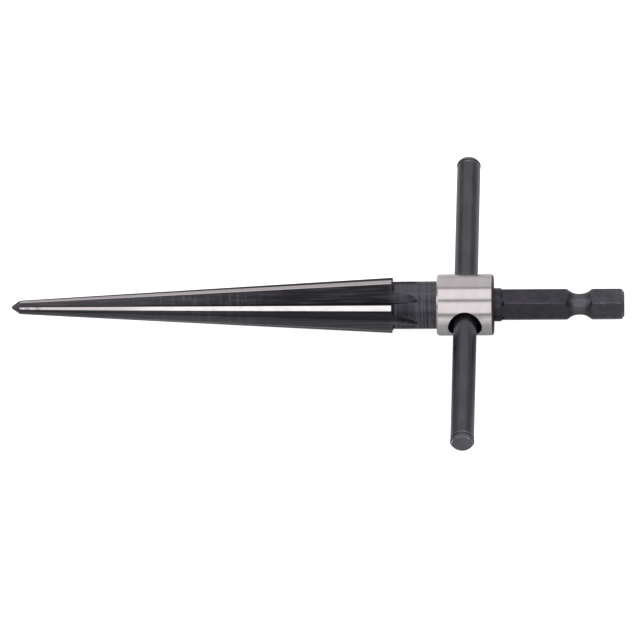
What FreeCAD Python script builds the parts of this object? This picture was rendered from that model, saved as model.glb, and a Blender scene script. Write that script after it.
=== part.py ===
import FreeCAD, Part
import math
import os

# Taper reamer with six straight flutes, a hexagonal power shank and a tommy bar that
# slides through a pressed-on collar. It is modelled in millimetres, lying down, with
# +Z up. The tool's axis is X, the point is at -X, and the origin is the centre of the
# shank's end face. The bar runs along Y. Angles about the axis start at +Y and grow
# towards +Z.

# Point and cutting taper
POINT_ANGLE = 70.0           # included angle of the point
POINT_FLAT_DIA = 0.6         # the blunt end of the point
TIP_DIA = 3.0                # over the lands, where the point meets the taper
BIG_DIA = 12.4               # over the lands, where the taper ends
TAPER_LENGTH = 79.3
TAPER_END_CHAMFER = 0.1

# Flutes and lands
FLUTES = 6
LAND_CLOCK = 18.2            # direction of one land's middle
TIP_LAND_WIDTH = 0.44
BIG_LAND_WIDTH = 1.20
CORE_SHARE = 0.67            # core radius as a share of the radius over the lands
ROOT_ANGLE = 8.0             # from the cutting edge to the flute's root
ROOT_FLAT_ANGLE = 4.0        # width of the root itself
CUTTER_RADIUS = 18.0         # the milling cutter that leaves the run-out
RUNOUT_STEPS = 8

# Neck
NECK_DIA = 10.1
NECK_LENGTH = 9.45

# Collar, and the body's seat that fills its bore
COLLAR_DIA = 13.0
COLLAR_WALL = 2.0
COLLAR_LENGTH = 12.0
COLLAR_EDGE = 0.35
SEAT_DIA = COLLAR_DIA - 2 * COLLAR_WALL
SEAT_CHAMFER = 0.3

# Hexagonal shank
HEX_ACROSS_FLATS = 6.35
HEX_CLOCK = 8.7              # direction of one corner
HEX_LENGTH = 25.8
HEX_START_CHAMFER = 0.5
HEX_END_CHAMFER = 0.85       # along the axis
HEX_END_FACE_DIA = 5.0
COLLAR_STUB_DIA = 7.1        # the round stretch between the collar and the hexagon
COLLAR_STUB_LENGTH = 1.9

# Groove for a quick-change chuck's balls
GROOVE_FROM_END = 9.5        # to the middle of the groove
GROOVE_DIA = 4.5
GROOVE_FLAT = 0.4
GROOVE_ARC = 3.2

# Tommy bar
BAR_DIA = 5.0
BAR_LENGTH = 80.2
BAR_SHIFT = 0.85             # as it lies, slid this far towards +Y
BAR_CLEARANCE = 0.05         # on the radius, in the body's cross hole
CROSS_COUNTERSINK = 0.5
COLLAR_HOLE_MARGIN = 1.1     # on the radius, round the bar
LIP_RISE = 0.07              # on the radius: the rolled lip can't pass the cross hole
LIP_LENGTH = 1.0
LIP_CHAMFER = 0.45           # on the radius
LIP_CHAMFER_LENGTH = 0.6     # along the bar
LIP_GROOVE_WIDTH = 0.4
LIP_GROOVE_DEPTH = 0.12

# How far a cutting shape stands out of what it cuts
OVERRUN = 2.0

# Stations along the axis, from the shank's end towards the point
hex_start = -HEX_LENGTH
collar_back = hex_start - COLLAR_STUB_LENGTH
collar_front = collar_back - COLLAR_LENGTH
collar_middle = (collar_back + collar_front) / 2
taper_end = collar_front - NECK_LENGTH
taper_start = taper_end - TAPER_LENGTH
tip = taper_start - (TIP_DIA - POINT_FLAT_DIA) / 2 / math.tan(math.radians(POINT_ANGLE / 2))

X_AXIS = FreeCAD.Vector(1, 0, 0)
Y_AXIS = FreeCAD.Vector(0, 1, 0)
ORIGIN = FreeCAD.Vector(0, 0, 0)


def around_x(x, radius, angle):
    """A point at a radius and an angle about the tool's axis."""
    a = math.radians(angle)
    return FreeCAD.Vector(x, radius * math.cos(a), radius * math.sin(a))


def turned(profile):
    """A solid turned about the tool's axis from a closed outline of (x, radius) points."""
    points = [FreeCAD.Vector(x, r, 0) for x, r in profile]
    face = Part.Face(Part.makePolygon(points + points[:1]))
    return face.revolve(ORIGIN, X_AXIS, 360)


def cylinder_along_y(x, radius, half_length):
    return Part.makeCylinder(radius, 2 * half_length, FreeCAD.Vector(x, -half_length, 0), Y_AXIS)


def extended(inner, outer, extra):
    """The point past the outer one, on the line from the inner one."""
    direction = outer.sub(inner)
    direction.normalize()
    return outer.add(direction.multiply(extra))


def flute_section(x, radius, land_width, lift):
    """
    The flute between two lands, as a closed outline across the axis. The cutting edge
    is at angle 0, with a steep face below it. The long back wall climbs from the root to
    the heel of the land before it.
    """
    heel_angle = 360.0 / FLUTES - math.degrees(land_width / radius)
    core = CORE_SHARE * radius
    edge = around_x(x, radius, 0)
    root = around_x(x, core, -ROOT_ANGLE)
    root_far = around_x(x, core, -ROOT_ANGLE - ROOT_FLAT_ANGLE)
    heel = around_x(x, radius, -heel_angle)
    outline = [extended(root, edge, OVERRUN), root, root_far, extended(root_far, heel, OVERRUN),
               around_x(x, radius + 2 * OVERRUN, -heel_angle / 2)]
    raised = around_x(0, lift, -ROOT_ANGLE)
    outline = [p.add(raised) for p in outline]
    return Part.makePolygon(outline + outline[:1])


def flute_cutter():
    """One flute: straight along the taper, then lifting out of the neck on the cutter's arc."""
    big_radius = BIG_DIA / 2
    taper_rate = (BIG_DIA - TIP_DIA) / 2 / TAPER_LENGTH
    width_rate = (BIG_LAND_WIDTH - TIP_LAND_WIDTH) / TAPER_LENGTH
    before_tip = (tip - taper_start) * 2
    start_radius = TIP_DIA / 2 + taper_rate * before_tip
    start_width = TIP_LAND_WIDTH + width_rate * before_tip
    straight = [flute_section(taper_start + before_tip, start_radius, start_width, 0),
                flute_section(taper_end, big_radius, BIG_LAND_WIDTH, 0)]

    # The root leaves the neck where the cutter has lifted by the flute's depth there.
    depth = max(NECK_DIA / 2 - CORE_SHARE * big_radius, 0) + BIG_DIA / 8
    reach = math.sqrt(2 * CUTTER_RADIUS * depth - depth ** 2)
    runout = []
    for i in range(1, RUNOUT_STEPS + 1):
        along = reach * i / RUNOUT_STEPS
        lift = CUTTER_RADIUS - math.sqrt(CUTTER_RADIUS ** 2 - along ** 2)
        runout.append(flute_section(taper_end + along, big_radius, BIG_LAND_WIDTH, lift))
    return Part.makeLoft(straight + runout, True, True)


def cut_flutes(blank):
    """Cut the flutes, with the middle of one land at LAND_CLOCK."""
    half_land = math.degrees(BIG_LAND_WIDTH / BIG_DIA)
    cutter = flute_cutter()
    for i in range(FLUTES):
        one = cutter.copy()
        one.rotate(ORIGIN, X_AXIS, LAND_CLOCK - half_land + 360.0 * i / FLUTES)
        blank = blank.cut(one)
    return blank


def hex_shank():
    """The hexagon, chamfered at both ends by turning, with the chuck's groove turned in."""
    corner = HEX_ACROSS_FLATS / 2 / math.cos(math.radians(30))
    outline = [around_x(hex_start, corner, HEX_CLOCK + 60 * i) for i in range(6)]
    prism = Part.Face(Part.makePolygon(outline + outline[:1])).extrude(FreeCAD.Vector(HEX_LENGTH, 0, 0))
    clear = corner + OVERRUN
    start_radius = COLLAR_STUB_DIA / 2 - HEX_START_CHAMFER / 2
    slope = (corner - HEX_END_FACE_DIA / 2) / HEX_END_CHAMFER
    envelope = turned([(hex_start, 0), (hex_start, start_radius),
                       (hex_start + HEX_START_CHAMFER, corner), (hex_start + HEX_START_CHAMFER, clear),
                       (-HEX_END_CHAMFER - OVERRUN / slope, clear), (0, HEX_END_FACE_DIA / 2), (0, 0)])
    return prism.common(envelope).cut(groove_cutter(clear))


def groove_cutter(outer):
    """A ring with a flat bottom that turns up through an arc on each side."""
    middle = -GROOVE_FROM_END
    bottom = GROOVE_DIA / 2
    rise = min(outer - bottom, GROOVE_ARC)
    sweep = math.acos(1 - rise / GROOVE_ARC)
    half = GROOVE_FLAT / 2

    def on_arc(side, turn):
        return FreeCAD.Vector(middle + side * (half + GROOVE_ARC * math.sin(turn)),
                              bottom + GROOVE_ARC * (1 - math.cos(turn)), 0)

    left = Part.Arc(on_arc(-1, sweep), on_arc(-1, sweep / 2), on_arc(-1, 0)).toShape()
    floor = Part.makeLine(on_arc(-1, 0), on_arc(1, 0))
    right = Part.Arc(on_arc(1, 0), on_arc(1, sweep / 2), on_arc(1, sweep)).toShape()
    top_right = FreeCAD.Vector(on_arc(1, sweep).x, outer + OVERRUN, 0)
    top_left = FreeCAD.Vector(on_arc(-1, sweep).x, outer + OVERRUN, 0)
    sides = [Part.makeLine(on_arc(1, sweep), top_right), Part.makeLine(top_right, top_left),
             Part.makeLine(top_left, on_arc(-1, sweep))]
    face = Part.Face(Part.Wire([left, floor, right] + sides))
    return face.revolve(ORIGIN, X_AXIS, 360)


def cross_hole():
    """The hole that the bar slides in, countersunk at both mouths."""
    radius = BAR_DIA / 2 + BAR_CLEARANCE
    seat = SEAT_DIA / 2
    hole = cylinder_along_y(collar_middle, radius, COLLAR_DIA)
    for side in (-1, 1):
        mouth = FreeCAD.Vector(collar_middle, side * (seat - CROSS_COUNTERSINK), 0)
        outward = FreeCAD.Vector(0, side, 0)
        hole = hole.fuse(Part.makeCone(radius, radius + CROSS_COUNTERSINK + OVERRUN,
                                       CROSS_COUNTERSINK + OVERRUN, mouth, outward))
    return hole


def reamer_body():
    """The tool itself, from its point to its shank, as one piece of blackened steel."""
    big = BIG_DIA / 2
    neck = NECK_DIA / 2
    seat = SEAT_DIA / 2
    stub = COLLAR_STUB_DIA / 2
    blank = turned([(tip, 0), (tip, POINT_FLAT_DIA / 2), (taper_start, TIP_DIA / 2),
                    (taper_end - TAPER_END_CHAMFER, big),
                    (taper_end, big - TAPER_END_CHAMFER), (taper_end, neck),
                    (collar_front, neck), (collar_front, seat),
                    (collar_back - SEAT_CHAMFER, seat), (collar_back, seat - SEAT_CHAMFER),
                    (collar_back, stub), (hex_start - HEX_START_CHAMFER, stub),
                    (hex_start, stub - HEX_START_CHAMFER / 2), (hex_start, 0)])
    body = cut_flutes(blank).fuse(hex_shank()).cut(cross_hole())
    return body.removeSplitter()


def collar():
    """A turned bright ring on the seat, with a wide hole that leaves the bar free."""
    outer = COLLAR_DIA / 2
    bore = SEAT_DIA / 2
    ring = turned([(collar_front, bore), (collar_front, outer - COLLAR_EDGE),
                   (collar_front + COLLAR_EDGE, outer), (collar_back - COLLAR_EDGE, outer),
                   (collar_back, outer - COLLAR_EDGE), (collar_back, bore)])
    return ring.cut(cylinder_along_y(collar_middle, BAR_DIA / 2 + COLLAR_HOLE_MARGIN, COLLAR_DIA))


def tommy_bar():
    """The round bar, with a rolled lip and a fine groove behind it at each end."""
    radius = BAR_DIA / 2
    lip = radius + LIP_RISE
    half = BAR_LENGTH / 2
    groove_end = LIP_LENGTH + LIP_GROOVE_WIDTH
    end = [(0, lip - LIP_CHAMFER), (LIP_CHAMFER_LENGTH, lip), (LIP_LENGTH, lip),
           (LIP_LENGTH, radius - LIP_GROOVE_DEPTH), (groove_end, radius - LIP_GROOVE_DEPTH),
           (groove_end, radius)]
    near = [(-half + s, r) for s, r in end]
    far = [(half - s, r) for s, r in reversed(end)]
    profile = [(-half, 0)] + near + far + [(half, 0)]
    points = [FreeCAD.Vector(collar_middle + r, BAR_SHIFT + y, 0) for y, r in profile]
    face = Part.Face(Part.makePolygon(points + points[:1]))
    return face.revolve(FreeCAD.Vector(collar_middle, 0, 0), Y_AXIS, 360)


os.makedirs("parts", exist_ok=True)
for name, solid in (("reamer_body", reamer_body()), ("collar", collar()), ("tommy_bar", tommy_bar())):
    solid.exportStep("parts/" + name + ".step")
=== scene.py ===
"""
A taper reamer lying on a white studio floor: black steel with bright ground lands, a
bright collar and a black tommy bar. All lengths are in metres. The tool's axis is X, with
the point at -X, and the bar runs along Y.
"""
import math

import bpy
from mathutils import Matrix, Vector


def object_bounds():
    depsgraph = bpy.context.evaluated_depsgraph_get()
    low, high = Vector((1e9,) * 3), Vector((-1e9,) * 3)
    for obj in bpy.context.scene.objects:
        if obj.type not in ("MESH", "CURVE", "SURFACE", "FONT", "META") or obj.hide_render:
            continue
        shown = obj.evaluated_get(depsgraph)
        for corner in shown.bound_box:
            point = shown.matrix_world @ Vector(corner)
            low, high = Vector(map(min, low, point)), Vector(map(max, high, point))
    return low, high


MM = 0.001


def mm(*lengths):
    """Lengths given in millimetres, as metres."""
    return tuple(length * MM for length in lengths)


# Stations along the tool's axis, and the bar's ends along its own
TAPER_START = -128.45 * MM
TAPER_END = -49.15 * MM
COLLAR_FRONT = -39.7 * MM
BAR_AXIS_X = -33.7 * MM
COLLAR_BACK = -27.7 * MM
HEX_START = -25.8 * MM
GROOVE_X = -9.5 * MM
BAR_NEAR_END = -39.25 * MM
BAR_FAR_END = 40.95 * MM

# Radii about the tool's axis
TIP_RADIUS = 1.5 * MM
BIG_RADIUS = 6.2 * MM
NECK_RADIUS = 5.05 * MM
COLLAR_RADIUS = 6.5 * MM
HEX_CORNER_RADIUS = 3.666 * MM

# Where a finish, a painted light or a painted shade changes along the tool's axis: the two
# stations that the change runs between
SPECKLE_FADES = mm(-125, -122)
FLUTES_DARKEN = mm(-118, -62)
# Painted light on the lower flutes
LOW_FLUTES_PAINTED_LIGHT = mm(-118, -104)
LANDS_BRIGHTEN = mm(-108, -98)
CHATTER_COMES = mm(-108, -100)
CHATTER_GOES = mm(-86, -72)
NECK_SHADE_COMES = mm(-48.4, -47.2)
NECK_SHADE_GOES = mm(-45, -43.6)
# The painted glint along the lower run-outs' rims
GLINT_COMES = mm(-47.6, -46.6)
GLINT_GOES = mm(-44.4, -43.9)
# The hexagon's worn corners and their painted highlight grow brighter towards its end
CORNERS_WEAR_AND_HIGHLIGHT_MORE = mm(-14, -9)
HEX_PALES = mm(-12, -7)

# The floor in front of the tool is painted greyer along this line, a painted shadow that the
# tool's metal mirrors, except beside the bar
FLOOR_SHADOW_Y = -11 * MM
FLOOR_SHADOW_HALF_WIDTH = mm(3, 14)
FLOOR_PALE_BY_BAR = mm(8, 18)
FLOOR_SIDE = 12
FLOOR_GLOW = 0.84

# The camera: where it looks, from where, and how it is turned
AIM = (-65 * MM, 0, 0)
CAMERA_AZIMUTH = 4.2
CAMERA_ELEVATION = 48.0
CAMERA_ROLL = -3.45
CAMERA_DISTANCE = 2.0
IMAGE_SIDE = 640
PIXELS_PER_METRE = 4711
AIM_PIXEL = (318.1, 305.7)
SENSOR = 36

# Colours, as linear light. The oxide is a thin dark skin on steel, so it mirrors like a
# dark metal, and its colour is how much of the light it sends back.
OXIDE = (0.084, 0.079, 0.098)
OXIDE_PALE = (0.112, 0.106, 0.127)
# The milled oxide's colour, also used as painted shade on the hexagon's lower flats, the stub and
# the neck between the run-outs
MILLED_OXIDE_AND_PAINTED_SHADE = (0.027, 0.025, 0.033)
OXIDE_MILLED_PALE = (0.061, 0.058, 0.069)
# The oxide near the tip, also used as painted light on the lower flutes and as painted shade on
# the low land in front
TIP_OXIDE_AND_PAINTED_LIGHT = (0.135, 0.130, 0.142)
OXIDE_HEX = (0.088, 0.083, 0.099)
OXIDE_HEX_END = (0.124, 0.119, 0.138)
# Painted shade in the corner where the neck meets the lands' ends
CORNER_PAINTED_SHADE = (0.012, 0.011, 0.013)
# Painted light on the neck's top and on its lower side
NECK_TOP_PAINTED_LIGHT = (0.150, 0.143, 0.163)
NECK_LOW_PAINTED_LIGHT = (0.200, 0.192, 0.215)
# Painted highlight in the ball groove
GROOVE_PAINTED_HIGHLIGHT = (0.148, 0.142, 0.161)
BAR_OXIDE = (0.106, 0.104, 0.120)
BAR_OXIDE_PALE = (0.138, 0.135, 0.153)
# Steel rubbed bright on the hexagon's corners, also used as painted highlight there, on the
# run-outs' lower rims and on the bar's end lips
RUBBED_STEEL_AND_PAINTED_HIGHLIGHT = (0.40, 0.38, 0.40)
# Painted glints on the bar's end lips
PAINTED_GLINT_STEEL = (0.55, 0.54, 0.57)
# The lands' ground steel, also used as painted light on the collar's lower side
GROUND_STEEL_AND_PAINTED_LIGHT = (0.93, 0.90, 0.91)
GROUND_STEEL_DULL = (0.64, 0.59, 0.61)
# Painted shade on the top land
TOP_LAND_PAINTED_SHADE = (0.56, 0.505, 0.52)
TURNED_STEEL = (0.71, 0.655, 0.675)
TURNED_STEEL_DULL = (0.67, 0.615, 0.635)
# Painted shadow on the floor in front of the tool, and the floor's pale paint
FLOOR_PAINTED_SHADOW = (0.62, 0.62, 0.62)
FLOOR_PALE = (0.92, 0.92, 0.92)

# How much of the oxide's look is a metal's
OXIDE_METAL = 0.92


class Nodes:
    """Short ways to add shader nodes to one material."""

    def __init__(self, name):
        self.material = bpy.data.materials.new(name)
        self.material.use_nodes = True
        self.tree = self.material.node_tree
        self.tree.nodes.clear()
        place = self.add("ShaderNodeTexCoord")
        self.place = place.outputs["Object"]
        split = self.add("ShaderNodeSeparateXYZ")
        self.join(self.place, split.inputs[0])
        self.x, self.y, self.z = split.outputs

    def add(self, kind, **settings):
        node = self.tree.nodes.new(kind)
        for key, value in settings.items():
            setattr(node, key, value)
        return node

    def join(self, source, target):
        """Set a socket to a value, or link another socket to it."""
        if isinstance(source, bpy.types.NodeSocket):
            self.tree.links.new(source, target)
        else:
            target.default_value = source

    def math(self, operation, a, b=0.0, c=0.0):
        node = self.add("ShaderNodeMath", operation=operation)
        for value, socket in zip((a, b, c), node.inputs):
            self.join(value, socket)
        return node.outputs[0]

    def times(self, first, *others):
        """The product of two or more values."""
        for other in others:
            first = self.math("MULTIPLY", first, other)
        return first

    def distance(self, a, b):
        """How far a spot is from the axis that lies a and b away from it."""
        return self.math("SQRT", self.math("MULTIPLY_ADD", a, a, self.math("MULTIPLY", b, b)))

    def radius(self):
        """The distance from the tool's axis."""
        return self.distance(self.y, self.z)

    def ramp(self, value, low, high, start=0.0, end=1.0):
        """A smooth step from start at low to end at high."""
        node = self.add("ShaderNodeMapRange", interpolation_type="SMOOTHSTEP")
        for v, name in ((value, "Value"), (low, "From Min"), (high, "From Max"),
                        (start, "To Min"), (end, "To Max")):
            self.join(v, node.inputs[name])
        return node.outputs[0]

    def fall(self, value, low, high, start=1.0):
        """A smooth step from start at low down to nothing at high."""
        return self.ramp(value, low, high, start, 0.0)

    def band(self, value, rise, fall):
        """1 between a smooth step up and one down, each given by its low and high ends."""
        return self.times(self.ramp(value, *rise), self.fall(value, *fall))

    def mix(self, share, a, b):
        """A colour between a and b."""
        node = self.add("ShaderNodeMix", data_type="RGBA")
        self.join(share, node.inputs[0])
        for colour, socket in ((a, node.inputs[6]), (b, node.inputs[7])):
            self.join((*colour, 1) if isinstance(colour, tuple) else colour, socket)
        return node.outputs[2]

    def blend(self, share, a, b):
        """A number between a and b."""
        node = self.add("ShaderNodeMix", data_type="FLOAT")
        for value, socket in ((share, node.inputs[0]), (a, node.inputs[2]), (b, node.inputs[3])):
            self.join(value, socket)
        return node.outputs[0]

    def noise(self, stretch, detail=3.0, roughness=0.55):
        """Noise with its own number of features to a metre along X, Y and Z."""
        mapping = self.add("ShaderNodeMapping")
        self.join(self.place, mapping.inputs["Vector"])
        self.join(Vector(stretch), mapping.inputs["Scale"])
        node = self.add("ShaderNodeTexNoise")
        self.join(mapping.outputs[0], node.inputs["Vector"])
        self.join(1.0, node.inputs["Scale"])
        self.join(detail, node.inputs["Detail"])
        self.join(roughness, node.inputs["Roughness"])
        return node.outputs[0]

    def bump(self, height, depth, below=None):
        """A normal raised by height, which runs from 0 to 1, over a depth in metres."""
        node = self.add("ShaderNodeBump")
        self.join(1.0, node.inputs["Strength"])
        self.join(depth, node.inputs["Distance"])
        self.join(height, node.inputs["Height"])
        if below is not None:
            self.join(below, node.inputs["Normal"])
        return node.outputs[0]

    def surface(self, **values):
        """A principled surface, with its sockets set or linked by name."""
        shader = self.add("ShaderNodeBsdfPrincipled")
        for name, value in values.items():
            if isinstance(value, tuple):
                value = (*value, 1)
            self.join(value, shader.inputs[name.replace("_", " ")])
        output = self.add("ShaderNodeOutputMaterial")
        self.join(shader.outputs[0], output.inputs["Surface"])
        return self.material


def land_mask(n):
    """1 on the ground faces of the lands, 0 in the flutes and off the taper."""
    rate = (BIG_RADIUS - TIP_RADIUS) / (TAPER_END - TAPER_START)
    over_lands = n.math("MULTIPLY_ADD", n.x, rate, BIG_RADIUS - TAPER_END * rate)
    below_land = n.math("SUBTRACT", over_lands, n.radius())
    on_land = n.fall(below_land, 0.05 * MM, 0.08 * MM)
    on_taper = n.band(n.x, (TAPER_START - 0.05 * MM, TAPER_START + 0.1 * MM),
                      (TAPER_END - 0.14 * MM, TAPER_END - 0.08 * MM))
    return n.times(on_land, on_taper)


def milled_mask(n, land):
    """1 in the flutes, less in their run-outs, 0 on every turned, ground or drawn face."""
    on_taper = n.band(n.x, (TAPER_START - 0.3 * MM, TAPER_START + 0.2 * MM),
                      (TAPER_END - 0.05 * MM, TAPER_END))
    on_neck = n.band(n.x, (TAPER_END - 0.12 * MM, TAPER_END - 0.06 * MM),
                     (COLLAR_FRONT - 0.2 * MM, COLLAR_FRONT - 0.1 * MM))
    below_neck = n.fall(n.radius(), NECK_RADIUS - 0.07 * MM, NECK_RADIUS - 0.02 * MM)
    fading = n.math("MAXIMUM",
                    n.ramp(n.x, TAPER_END - 1.5 * MM, TAPER_END + 2.5 * MM, 1.0, 0.35),
                    n.ramp(n.x, TAPER_END + 2.8 * MM, TAPER_END + 4.2 * MM, 0.35, 0.9))
    everywhere = n.math("MAXIMUM", n.times(on_taper, fading),
                        n.times(below_neck, on_neck, fading))
    return n.times(everywhere, n.math("SUBTRACT", 1.0, land))


def worn_corner_highlight_mask(n):
    """Where handling has worn the oxide on the hexagon's corners, in patches; a painted highlight
    runs along them.
    """
    corner = n.ramp(n.radius(), HEX_CORNER_RADIUS - 0.10 * MM, HEX_CORNER_RADIUS)
    on_hex = n.ramp(n.x, HEX_START, HEX_START + 0.3 * MM)
    patches = n.ramp(n.noise((900, 900, 900)), 0.32, 0.62, 0.25, 1.0)
    more = n.ramp(n.x, *CORNERS_WEAR_AND_HIGHLIGHT_MORE, 0.22, 0.5)
    return n.times(corner, on_hex, patches, more)


def run_out_glint_mask(n, upwards):
    """A painted glint along the lower run-outs' rims, just under the neck's surface."""
    glint_rim = n.band(n.radius(), (NECK_RADIUS - 0.12 * MM, NECK_RADIUS - 0.07 * MM),
                 (NECK_RADIUS - 0.04 * MM, NECK_RADIUS - 0.01 * MM))
    return n.times(glint_rim, n.band(n.x, GLINT_COMES, GLINT_GOES), n.fall(upwards, 0.30, 0.42))


def hex_oxide(n, upwards):
    """The hexagon's oxide: mottled and paler near its end, with painted shade on its lower flats.
    """
    oxide = n.mix(n.ramp(n.x, *HEX_PALES), OXIDE_HEX, OXIDE_HEX_END)
    mottle = n.ramp(n.noise((620, 780, 780), 3.0, 0.7), 0.4, 0.62)
    oxide = n.mix(n.times(mottle, 0.3), oxide, MILLED_OXIDE_AND_PAINTED_SHADE)
    # Painted shade on the lower flats
    return n.mix(n.fall(upwards, 0.77, 0.79, 0.42), oxide, MILLED_OXIDE_AND_PAINTED_SHADE)


def turned_oxide(n, upwards, blotches, ringed):
    """The oxide of the neck, of the stub behind the collar and of the hexagonal shank, with
    painted light on the neck's top, lower side and ball groove, and painted shade on the stub, by
    the lands' ends and between the run-outs.
    """
    oxide = n.mix(blotches, OXIDE, OXIDE_PALE)
    on_hex = n.ramp(n.x, HEX_START - 1.0 * MM, HEX_START)
    oxide = n.mix(on_hex, oxide, hex_oxide(n, upwards))

    before_collar = n.fall(n.x, COLLAR_FRONT - 0.2 * MM, COLLAR_FRONT)
    # Painted light on the neck's top and on its lower side
    neck_top_light = n.times(n.ramp(upwards, 0.93, 0.99, end=0.8), before_collar)
    oxide = n.mix(neck_top_light, oxide, NECK_TOP_PAINTED_LIGHT)
    neck_low_light = n.times(n.fall(upwards, -0.15, 0.40, 0.9), before_collar)
    oxide = n.mix(neck_low_light, oxide, NECK_LOW_PAINTED_LIGHT)

    # Painted highlight in the ball groove
    off_groove = n.math("ABSOLUTE", n.math("SUBTRACT", n.x, GROOVE_X))
    oxide = n.mix(n.fall(off_groove, 0.6 * MM, 2.0 * MM, 0.8), oxide, GROOVE_PAINTED_HIGHLIGHT)
    rings = n.times(ringed, n.ramp(upwards, 0.92, 0.985, 1.0, 0.3))
    oxide = n.mix(rings, oxide, MILLED_OXIDE_AND_PAINTED_SHADE)
    # Painted shade on the stub between the collar and the hexagon
    stub_shade = n.band(n.x, (COLLAR_BACK - 0.5 * MM, COLLAR_BACK),
                     (HEX_START - 0.3 * MM, HEX_START))
    oxide = n.mix(n.times(stub_shade, 0.35), oxide, MILLED_OXIDE_AND_PAINTED_SHADE)

    # Painted shade in the corner where the neck meets the lands' ends
    corner_shade = n.band(n.x, (TAPER_END - 0.02 * MM, TAPER_END + 0.02 * MM),
                  (TAPER_END + 0.35 * MM, TAPER_END + 0.75 * MM))
    on_round = n.ramp(n.radius(), NECK_RADIUS - 0.05 * MM, NECK_RADIUS - 0.01 * MM)
    oxide = n.mix(n.times(corner_shade, on_round, 0.9), oxide, CORNER_PAINTED_SHADE)
    # Painted shade on the neck, except its top, between the run-outs
    run_out_shade = n.times(n.band(n.x, NECK_SHADE_COMES, NECK_SHADE_GOES),
                          n.fall(upwards, 0.72, 0.80))
    return n.mix(n.times(run_out_shade, 0.6), oxide, MILLED_OXIDE_AND_PAINTED_SHADE)


def flute_oxide(n, upwards, streaks):
    """The flutes' oxide: streaked by the cutter, paler towards the tip, with chatter marks and
    painted light on the lower flutes.
    """
    oxide = n.mix(streaks, MILLED_OXIDE_AND_PAINTED_SHADE, OXIDE_MILLED_PALE)
    oxide = n.mix(n.fall(n.x, *FLUTES_DARKEN, 0.62), oxide, TIP_OXIDE_AND_PAINTED_LIGHT)
    chatter = n.times(n.ramp(n.noise((1300, 140, 140), 2.0), 0.50, 0.64, end=0.45),
                      n.band(n.x, CHATTER_COMES, CHATTER_GOES))
    oxide = n.mix(chatter, oxide, TIP_OXIDE_AND_PAINTED_LIGHT)
    # Painted light on the lower flutes
    low_flute_light = n.times(n.fall(upwards, 0.30, 0.60), n.ramp(n.x, *LOW_FLUTES_PAINTED_LIGHT, end=0.42),
                        n.fall(n.x, TAPER_END, TAPER_END + 2 * MM))
    return n.mix(low_flute_light, oxide, TIP_OXIDE_AND_PAINTED_LIGHT)


def land_steel(n, upwards):
    """
    The lands' steel: bright where it was ground, duller near the tip and speckled at the tip
    itself, with painted shade on the top land. The low land in front is painted dark, as painted
    shade.
    """
    dull_tip = n.fall(n.x, *LANDS_BRIGHTEN, 0.9)
    worn = n.ramp(n.noise((420, 900, 900), 4.0), 0.4, 0.75, end=0.35)
    steel = n.mix(n.math("MAXIMUM", dull_tip, worn), GROUND_STEEL_AND_PAINTED_LIGHT, GROUND_STEEL_DULL)
    speckle = n.times(n.ramp(n.noise((1700, 2600, 2600), 2.0), 0.50, 0.60, end=0.55),
                      n.fall(n.x, *SPECKLE_FADES))
    steel = n.mix(speckle, steel, TIP_OXIDE_AND_PAINTED_LIGHT)
    backwards = n.math("DIVIDE", n.y, n.radius())
    # Painted shade on the top land
    top_land_shade = n.times(n.ramp(backwards, -0.5, -0.1), n.ramp(upwards, 0.4, 0.7))
    steel = n.mix(n.times(top_land_shade, 0.9), steel, TOP_LAND_PAINTED_SHADE)
    # Painted shade on the low land in front
    low_land_shade = n.times(n.fall(backwards, -0.86, -0.80), n.fall(upwards, 0.0, 0.1))
    return n.mix(n.times(low_land_shade, 0.93), steel, TIP_OXIDE_AND_PAINTED_LIGHT)


def reamer_finish():
    """Black oxide all over, ground bright on the lands and rubbed on the hexagon's corners, with
    painted light and painted shade on some faces.
    """
    n = Nodes("reamer_black_oxide")
    land = land_mask(n)
    milled = milled_mask(n, land)
    upwards = n.math("DIVIDE", n.z, n.radius())
    blotches = n.ramp(n.noise((260, 260, 260), 5.0), 0.3, 0.7)
    streaks = n.ramp(n.noise((60, 2600, 2600), 3.0), 0.42, 0.68)
    rings = n.noise((2100, 25, 25), 2.0, 0.6)
    grind = n.noise((5200, 240, 240), 2.0)
    off_neck = n.math("MAXIMUM", n.fall(n.x, TAPER_END - 0.1 * MM, TAPER_END),
                      n.ramp(n.x, HEX_START - 0.2 * MM, HEX_START))
    on_neck = n.math("SUBTRACT", 1.0, n.math("MAXIMUM", off_neck, milled))

    ringed = n.times(n.ramp(rings, 0.42, 0.60, end=0.72), on_neck)
    oxide = n.mix(milled, turned_oxide(n, upwards, blotches, ringed),
                  flute_oxide(n, upwards, streaks))
    # The hexagon's worn corners, with a painted highlight along them
    oxide = n.mix(worn_corner_highlight_mask(n), oxide, RUBBED_STEEL_AND_PAINTED_HIGHLIGHT)
    # Painted glint on the lower run-outs' rims
    oxide = n.mix(n.times(run_out_glint_mask(n, upwards), 0.6), oxide, RUBBED_STEEL_AND_PAINTED_HIGHLIGHT)
    colour = n.mix(land, oxide, land_steel(n, upwards))
    oxide_roughness = n.blend(milled, n.blend(blotches, 0.27, 0.37),
                              n.blend(streaks, 0.62, 0.48))
    roughness = n.blend(land, oxide_roughness, n.blend(grind, 0.16, 0.28))

    normal = n.bump(n.noise((4200, 4200, 4200), 3.0), 0.005 * MM)
    normal = n.bump(n.times(streaks, milled), 0.03 * MM, normal)
    normal = n.bump(n.times(rings, on_neck), 0.05 * MM, normal)
    normal = n.bump(n.times(grind, land), 0.0015 * MM, normal)
    metal = n.blend(land, OXIDE_METAL, 1.0)
    return n.surface(Base_Color=colour, Metallic=metal, Roughness=roughness, Normal=normal)


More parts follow.
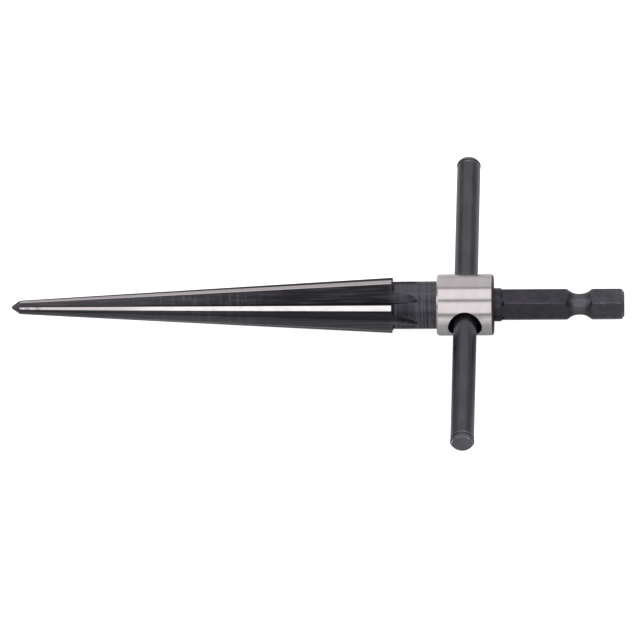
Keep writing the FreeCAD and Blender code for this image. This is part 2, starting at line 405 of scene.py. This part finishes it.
def collar_finish():
    """Turned bright round its rim, and black on its end faces and in its cross hole, with painted
    light on its lower side.
    """
    n = Nodes("collar_turned_steel")
    least = n.ramp(n.x, COLLAR_FRONT + 0.50 * MM, COLLAR_FRONT + 0.60 * MM,
                   COLLAR_RADIUS - 0.34 * MM, COLLAR_RADIUS - 0.15 * MM)
    rim = n.times(n.ramp(n.math("SUBTRACT", n.radius(), least), -0.03 * MM, 0.03 * MM),
                  n.fall(n.x, COLLAR_BACK - 0.36 * MM, COLLAR_BACK - 0.28 * MM))
    grain = n.noise((6500, 150, 150), 3.0, 0.65)
    cloud = n.ramp(n.noise((500, 220, 220), 4.0), 0.3, 0.7)
    bright = n.mix(cloud, TURNED_STEEL, TURNED_STEEL_DULL)
    # Painted light on the collar's lower side
    low_side_light = n.fall(n.math("DIVIDE", n.z, n.radius()), 0.35, 0.50, 0.6)
    bright = n.mix(low_side_light, bright, GROUND_STEEL_AND_PAINTED_LIGHT)
    colour = n.mix(rim, OXIDE, bright)
    roughness = n.blend(rim, 0.42, n.blend(grain, 0.13, 0.22))
    normal = n.bump(n.times(grain, rim), 0.0025 * MM)
    metal = n.blend(rim, OXIDE_METAL, 1.0)
    return n.surface(Base_Color=colour, Metallic=metal, Roughness=roughness, Normal=normal)


def bar_finish():
    """
    Drawn rod, blackened, with the fine lengthwise grain of drawing. Its end lips carry a painted
    highlight on their edges, with painted glints in patches, and painted light all over the far
    lip.
    """
    n = Nodes("bar_black_oxide")
    radius = n.distance(n.z, n.math("SUBTRACT", n.x, BAR_AXIS_X))
    to_far = n.math("SUBTRACT", BAR_FAR_END, n.y)
    to_end = n.math("MINIMUM", n.math("SUBTRACT", n.y, BAR_NEAR_END), to_far)
    chamfer = n.band(to_end, mm(0.02, 0.08), mm(0.16, 0.28))
    groove_edge = n.band(to_end, mm(1.36, 1.40), mm(1.5, 1.7))
    edges = n.times(n.math("MAXIMUM", chamfer, groove_edge),
                    n.ramp(radius, 2.02 * MM, 2.08 * MM))
    patches = n.ramp(n.noise((410, 360, 410), 2.0), 0.50, 0.60)
    no_glint = n.math("MINIMUM", edges, n.times(groove_edge, 0.55))
    glint = n.times(n.math("SUBTRACT", edges, no_glint), patches)

    blotches = n.ramp(n.noise((320, 140, 320), 5.0), 0.3, 0.7)
    drawn = n.noise((2600, 60, 2600), 2.0)
    oxide = n.mix(blotches, BAR_OXIDE, BAR_OXIDE_PALE)
    # Painted light over the far lip
    oxide = n.mix(n.fall(to_far, 1.0 * MM, 1.25 * MM, 0.5), oxide, RUBBED_STEEL_AND_PAINTED_HIGHLIGHT)
    # Painted highlight on the lips' edges, and painted glints in patches
    colour = n.mix(n.times(edges, 0.2), oxide, RUBBED_STEEL_AND_PAINTED_HIGHLIGHT)
    colour = n.mix(glint, colour, PAINTED_GLINT_STEEL)
    roughness = n.blend(blotches, 0.26, 0.34)
    normal = n.bump(n.noise((3800, 3800, 3800), 3.0), 0.004 * MM)
    normal = n.bump(drawn, 0.006 * MM, normal)
    return n.surface(Base_Color=colour, Metallic=OXIDE_METAL, Roughness=roughness,
                     Normal=normal)


def finish_node(node, material):
    node.data.materials.clear()
    node.data.materials.append(material)


def make_floor(height):
    """A pale floor that shows white and keeps a faint shadow, with a painted shadow of greyer
    paint in front of the tool, which the tool's metal mirrors.
    """
    bpy.ops.mesh.primitive_plane_add(size=FLOOR_SIDE, location=(AIM[0], 0, height))
    floor = bpy.context.object
    floor.name = "studio_floor"
    n = Nodes("studio_white")
    rays = n.add("ShaderNodeLightPath")
    seen = n.math("MAXIMUM", rays.outputs["Is Camera Ray"], rays.outputs["Is Transmission Ray"])
    glow = n.add("ShaderNodeEmission")
    n.join((1, 1, 1, 1), glow.inputs["Color"])
    n.join(n.times(seen, FLOOR_GLOW), glow.inputs["Strength"])
    paint = n.add("ShaderNodeBsdfDiffuse")
    # Painted shadow: greyer paint in a strip in front of the tool, paler beside the bar
    from_line = n.math("ABSOLUTE", n.math("SUBTRACT", n.y, FLOOR_SHADOW_Y))
    from_bar = n.math("ABSOLUTE", n.math("SUBTRACT", n.x, BAR_AXIS_X))
    pale = n.math("MAXIMUM", n.ramp(from_line, *FLOOR_SHADOW_HALF_WIDTH),
                  n.fall(from_bar, *FLOOR_PALE_BY_BAR, 0.95))
    n.join(n.mix(pale, FLOOR_PAINTED_SHADOW, FLOOR_PALE), paint.inputs["Color"])
    both = n.add("ShaderNodeAddShader")
    n.join(glow.outputs[0], both.inputs[0])
    n.join(paint.outputs[0], both.inputs[1])
    output = n.add("ShaderNodeOutputMaterial")
    n.join(both.outputs[0], output.inputs["Surface"])
    floor.data.materials.append(n.material)


def soft_panel(name, length, width, place, turn, radiance):
    """A rectangular lamp that the camera doesn't see, as bright as its radiance says."""
    lamp = bpy.data.lights.new(name, "AREA")
    lamp.shape = "RECTANGLE"
    lamp.size, lamp.size_y = length, width
    lamp.energy = radiance * math.pi * length * width
    panel = bpy.data.objects.new(name, lamp)
    bpy.context.collection.objects.link(panel)
    panel.location = place
    panel.rotation_euler = turn
    panel.visible_camera = False


def long_panel(name, elevation, width, length, distance, radiance):
    """
    A soft panel parallel to the tool's axis, seen from the tool at an elevation that
    starts at the floor in front, passes 90 overhead and reaches 180 at the floor behind.
    """
    e = math.radians(elevation)
    place = (AIM[0], -math.cos(e) * distance, math.sin(e) * distance)
    soft_panel(name, length, width, place, (math.radians(90 - elevation), 0, 0), radiance)


def make_world(radiance):
    world = bpy.data.worlds.new("studio_air")
    world.use_nodes = True
    background = world.node_tree.nodes["Background"]
    background.inputs["Color"].default_value = (1, 1, 1, 1)
    background.inputs["Strength"].default_value = radiance
    bpy.context.scene.world = world


def make_camera():
    """A long lens at the photograph's angle, so far off that the view is nearly parallel."""
    a, e, roll = (math.radians(v) for v in (CAMERA_AZIMUTH, CAMERA_ELEVATION, CAMERA_ROLL))
    back = Vector((math.sin(a) * math.cos(e), -math.cos(a) * math.cos(e), math.sin(e)))
    right = Vector((math.cos(a), math.sin(a), 0))
    up = back.cross(right)
    right, up = (right * math.cos(roll) + up * math.sin(roll),
                 up * math.cos(roll) - right * math.sin(roll))
    middle = IMAGE_SIDE / 2
    target = (Vector(AIM) + right * ((middle - AIM_PIXEL[0]) / PIXELS_PER_METRE)
              - up * ((middle - AIM_PIXEL[1]) / PIXELS_PER_METRE))
    data = bpy.data.cameras.new("camera")
    data.sensor_width = SENSOR
    data.lens = SENSOR * CAMERA_DISTANCE / (IMAGE_SIDE / PIXELS_PER_METRE)
    data.clip_start, data.clip_end = 0.1, 20
    camera = bpy.data.objects.new("camera", data)
    bpy.context.collection.objects.link(camera)
    camera.rotation_mode = "QUATERNION"
    camera.rotation_quaternion = Matrix((right, up, back)).transposed().to_quaternion()
    camera.location = target + back * CAMERA_DISTANCE
    bpy.context.scene.camera = camera


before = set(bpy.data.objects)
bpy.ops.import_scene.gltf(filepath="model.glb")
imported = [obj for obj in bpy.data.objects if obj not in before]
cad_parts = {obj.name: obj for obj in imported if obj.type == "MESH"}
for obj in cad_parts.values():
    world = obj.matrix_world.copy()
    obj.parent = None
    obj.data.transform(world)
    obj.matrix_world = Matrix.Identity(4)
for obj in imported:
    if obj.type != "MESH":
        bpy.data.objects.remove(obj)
cad_box = [list(corner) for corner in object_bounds()]

finish_node(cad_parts["reamer_body"], reamer_finish())
finish_node(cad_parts["collar"], collar_finish())
finish_node(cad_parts["tommy_bar"], bar_finish())

make_floor(cad_box[0][2])
long_panel("overhead_panel", elevation=89.5, width=0.46, length=2.0, distance=0.62, radiance=0.76)
long_panel("front_panel", elevation=37.5, width=0.50, length=2.0, distance=0.66, radiance=0.74)
long_panel("front_low_panel", elevation=3, width=0.06, length=2.0, distance=0.66, radiance=0.20)
long_panel("back_panel", elevation=147, width=0.86, length=0.90, distance=0.80, radiance=0.34)
# The last panel stands beyond the point and lights the chamfers that face it
soft_panel("side_panel", length=0.5, width=0.5, place=(-0.9, 0, 0.26),
           turn=(0, math.radians(-90), 0), radiance=0.8)
make_world(0.33)
make_camera()

bpy.context.scene.view_settings.view_transform = "Standard"
